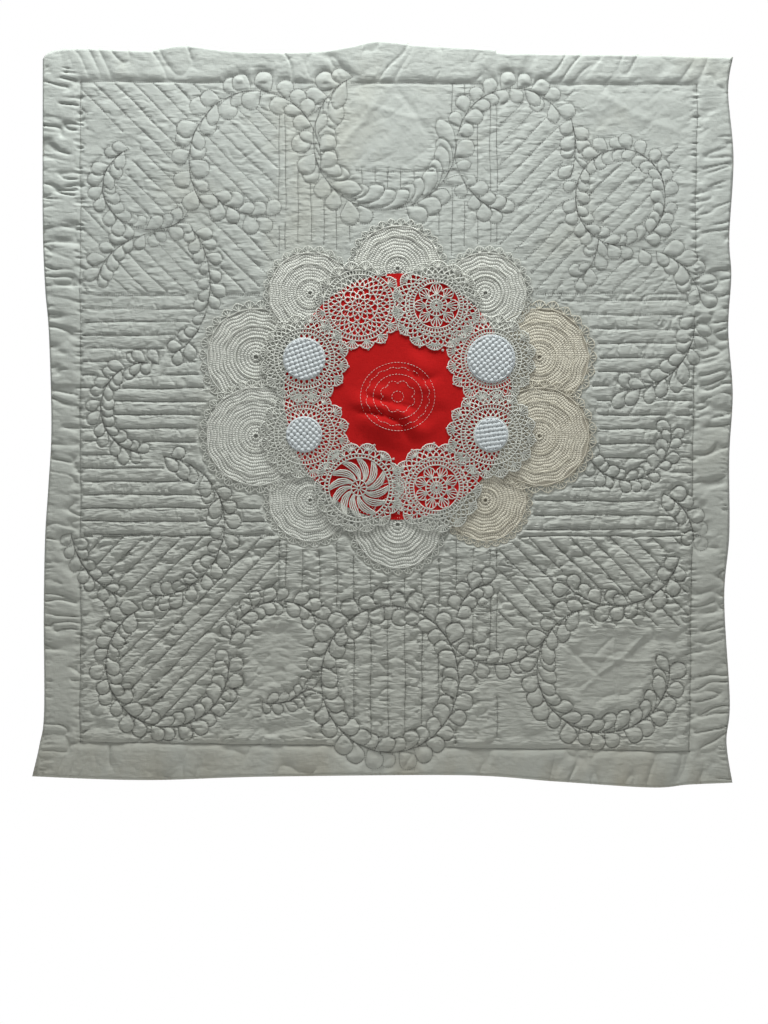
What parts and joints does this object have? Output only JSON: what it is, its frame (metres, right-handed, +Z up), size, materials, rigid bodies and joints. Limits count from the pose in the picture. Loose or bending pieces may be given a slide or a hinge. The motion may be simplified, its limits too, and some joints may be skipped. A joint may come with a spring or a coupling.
{
  "type": "wall quilt",
  "caption": "Whole-cloth wall quilt with raised feather and channel quilting, and a ring of crochet doilies and woven rounds sewn around a red cloth in its middle.",
  "frame": {"origin": "the middle of the top edge, at the back where the cloth meets the wall", "axes": "+Z up, +X to the right of someone who looks at the front, +Y into the wall, so the front faces -Y"},
  "size_m": [1.436, 0.0169, 1.53],
  "materials": {
    "quilt_cloth": "matt linen",
    "red_cloth": "matt cotton",
    "white_lace": "crochet cotton",
    "cream_lace": "crochet cotton",
    "woven_tape": "woven cotton tape"
  },
  "bodies": {
    "root": {"doily_inner_1": "white_lace", "doily_inner_2": "white_lace", "doily_inner_3": "white_lace", "doily_inner_4": "white_lace", "doily_inner_5": "white_lace", "doily_inner_6": "white_lace", "doily_inner_7": "white_lace", "doily_inner_8": "white_lace", "doily_outer_1": "cream_lace", "doily_outer_10": "cream_lace", "doily_outer_2": "white_lace", "doily_outer_3": "white_lace", "doily_outer_4": "white_lace", "doily_outer_5": "white_lace", "doily_outer_6": "white_lace", "doily_outer_7": "white_lace", "doily_outer_8": "white_lace", "doily_outer_9": "cream_lace", "quilt": "quilt_cloth", "red_cloth": "red_cloth", "woven_round_1": "woven_tape", "woven_round_2": "woven_tape", "woven_round_3": "woven_tape", "woven_round_4": "woven_tape"}
  },
  "joints": []
}
